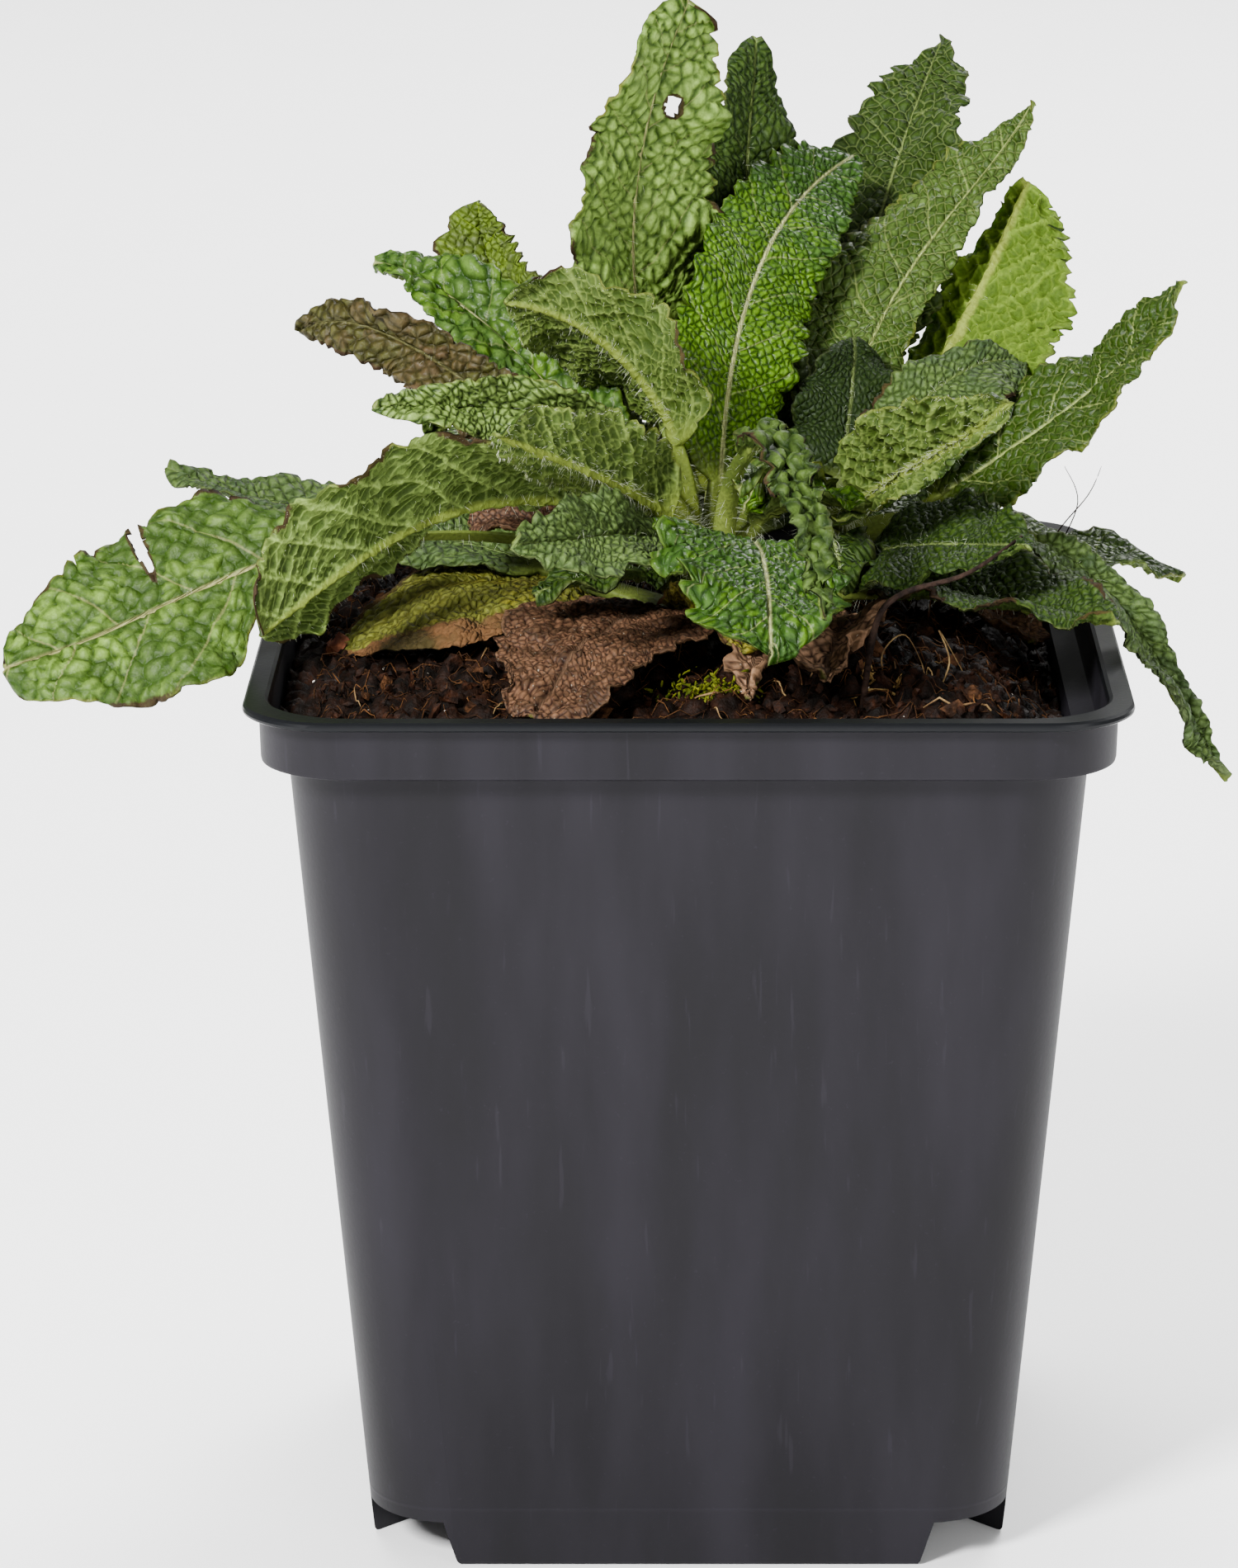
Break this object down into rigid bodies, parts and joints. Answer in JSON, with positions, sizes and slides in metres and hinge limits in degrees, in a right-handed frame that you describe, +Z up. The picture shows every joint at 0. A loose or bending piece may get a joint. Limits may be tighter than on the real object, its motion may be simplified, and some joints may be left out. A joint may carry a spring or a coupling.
{
  "type": "potted perennial salvia",
  "caption": "Young perennial salvia, a rosette of wrinkled round-toothed leaves, standing in peat compost in a square tapered plastic nursery pot.",
  "frame": {"origin": "on the standing surface under the middle of the square pot", "axes": "+Z up, -Y toward the front of the plant, +X to the right seen from the front; the pot's sides are parallel to X and Y"},
  "size_m": [0.1285, 0.1057, 0.1594],
  "materials": {
    "pot": "moulded black-grey polypropylene, satin with faint drag marks",
    "soil": "moist peat compost with fibres",
    "crown": "woody root crown with green hairy shoots",
    "bark": "reddish bark chip",
    "dead_brown": "dry brown leaf",
    "leaf_grey": "grey-green leaf, softly hairy",
    "leaf_green": "wrinkled green leaf, softly hairy",
    "leaf_blue": "blue-green leaf",
    "leaf_purple": "leaf tinged purple-brown",
    "leaf_bright": "young bright green leaf",
    "leaf_yellow": "yellowing leaf",
    "leaf_dark": "shaded dark green leaf",
    "leaf_pale": "yellow-green leaf seen from below",
    "dead_yellow": "yellowing leaf"
  },
  "bodies": {
    "root": {"pot": "pot", "soil": "soil", "crown": "crown", "dead_leaf_curled": "dead_brown", "leaf_far_left": "leaf_grey", "leaf_left_curled": "leaf_green", "leaf_left_behind": "leaf_blue", "leaf_purple": "leaf_purple", "leaf_upper_left": "leaf_bright", "leaf_upper_left_behind": "leaf_yellow", "leaf_hood": "leaf_green", "leaf_mid_left": "leaf_green", "leaf_front_left_arched": "leaf_green", "leaf_tall_left": "leaf_grey", "leaf_tall_middle": "leaf_dark", "leaf_shaded_back": "leaf_dark", "leaf_centre": "leaf_bright", "leaf_tall_right": "leaf_dark", "leaf_twisted_right": "leaf_green", "leaf_pale_right": "leaf_pale", "leaf_front_right_curled": "leaf_green", "leaf_right_cupped": "leaf_blue", "leaf_spreading_right": "leaf_green", "leaf_hanging_right": "leaf_blue", "leaf_low_right": "leaf_dark", "leaf_lying_right": "leaf_dark", "leaf_crumpled_small": "leaf_dark", "leaf_fresh_front": "leaf_bright", "leaf_small_front_left": "leaf_blue", "leaf_rear_1": "leaf_green", "leaf_rear_2": "leaf_green", "leaf_rear_3": "leaf_green", "leaf_rear_4": "leaf_green", "leaf_rear_5": "leaf_green", "leaf_rear_6": "leaf_green", "leaf_small_low": "leaf_dark", "leaf_left_low": "leaf_dark", "leaf_inner_right": "leaf_dark", "leaf_bud_right": "leaf_bright", "dead_leaf_flat": "dead_brown", "dead_leaf_yellowing": "dead_yellow", "dead_leaf_middle": "dead_brown", "dead_leaf_front_right": "dead_brown", "dead_leaf_right": "dead_brown", "dead_leaf_yellow_scrap": "dead_yellow", "dead_leaf_rear": "dead_brown", "bark_chip": "bark"}
  },
  "joints": []
}
